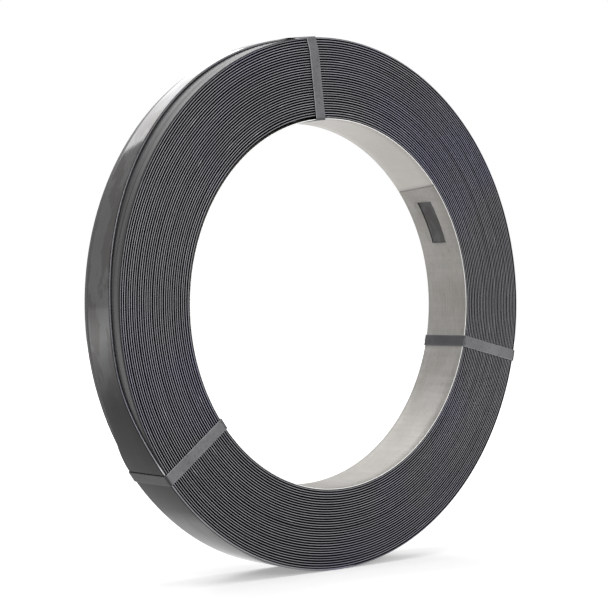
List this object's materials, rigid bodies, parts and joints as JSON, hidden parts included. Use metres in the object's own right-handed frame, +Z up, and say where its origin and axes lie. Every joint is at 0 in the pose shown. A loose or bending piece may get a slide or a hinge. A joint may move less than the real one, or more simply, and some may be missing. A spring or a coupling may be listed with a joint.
{
  "type": "steel coil",
  "caption": "Upright coil of dark steel strip wound flat round a thin metal liner with an open bore, held by narrow tie straps that loop round its section.",
  "frame": {"origin": "floor point under the middle of the coil, which stands on its rim", "axes": "+Y along the coil's axis to the back face, the front face looks to -Y, +X right as the front is seen, +Z up"},
  "size_m": [0.2931, 0.033, 0.2933],
  "materials": {
    "dark_strip": "glossy dark blued strip, worn to bare grey along the edges of its turns",
    "bare_liner": "dull bare rolled metal, light warm grey",
    "tie_band": "plain rolled steel band, satin mid grey"
  },
  "bodies": {
    "root": {"strip_coil": "dark_strip", "inner_liner": "bare_liner", "tie_strap_top": "tie_band", "tie_strap_right": "tie_band", "tie_strap_left": "tie_band"}
  },
  "joints": []
}
